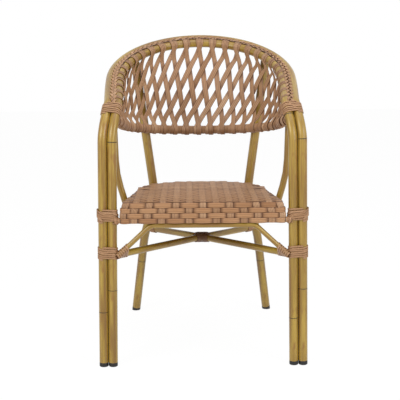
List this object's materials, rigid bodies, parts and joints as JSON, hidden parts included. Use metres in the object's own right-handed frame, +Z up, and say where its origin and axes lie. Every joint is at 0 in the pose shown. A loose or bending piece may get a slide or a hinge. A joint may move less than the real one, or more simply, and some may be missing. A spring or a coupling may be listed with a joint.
{
  "type": "rattan bistro chair",
  "caption": "Stacking cafe armchair with a bent tube frame painted like bamboo and a seat, back and bands of woven plastic rattan.",
  "frame": {"origin": "on the floor, in the middle of the chair's bounding box", "axes": "+X to the viewer's right when the chair is seen from the front, +Y from the front edge of the seat to the back, +Z up"},
  "size_m": [0.5504, 0.5234, 0.846],
  "materials": {
    "bamboo_painted_tube": "glossy olive-gold paint with brown streaks and dark node rings, like bamboo",
    "plastic_rattan": "ribbed plastic cane strands in mixed tan and brown",
    "foot_plastic": "moulded black plastic",
    "bare_tube": "bare drawn tube, hidden under the weave"
  },
  "bodies": {
    "root": {"apron_bent_rod": "bare_tube", "apron_front_rod": "bare_tube", "arm_band_left": "plastic_rattan", "arm_band_right": "plastic_rattan", "arm_support_tube": "bamboo_painted_tube", "back_lattice": "plastic_rattan", "brace_cuff_left": "plastic_rattan", "brace_cuff_right": "plastic_rattan", "foot_cap_front_inner_left": "foot_plastic", "foot_cap_front_inner_right": "foot_plastic", "foot_cap_front_outer_left": "foot_plastic", "foot_cap_front_outer_right": "foot_plastic", "foot_cap_rear_left": "foot_plastic", "foot_cap_rear_right": "foot_plastic", "front_brace": "bamboo_painted_tube", "hoop_braid": "plastic_rattan", "inner_hoop_tube": "bamboo_painted_tube", "lower_back_rail": "bamboo_painted_tube", "outer_hoop_tube": "bamboo_painted_tube", "rear_cuff_left": "plastic_rattan", "rear_cuff_right": "plastic_rattan", "rear_leg_left": "bamboo_painted_tube", "rear_leg_right": "bamboo_painted_tube", "seat_band_left": "plastic_rattan", "seat_band_right": "plastic_rattan", "seat_bent_rail": "bare_tube", "seat_front_rail": "bare_tube", "seat_weave": "plastic_rattan", "stretcher_band_left": "plastic_rattan", "stretcher_band_right": "plastic_rattan", "stretcher_half_rod_front": "bamboo_painted_tube", "stretcher_half_rod_rear": "bamboo_painted_tube", "stretcher_knot": "plastic_rattan", "stretcher_through_rod": "bamboo_painted_tube"}
  },
  "joints": []
}
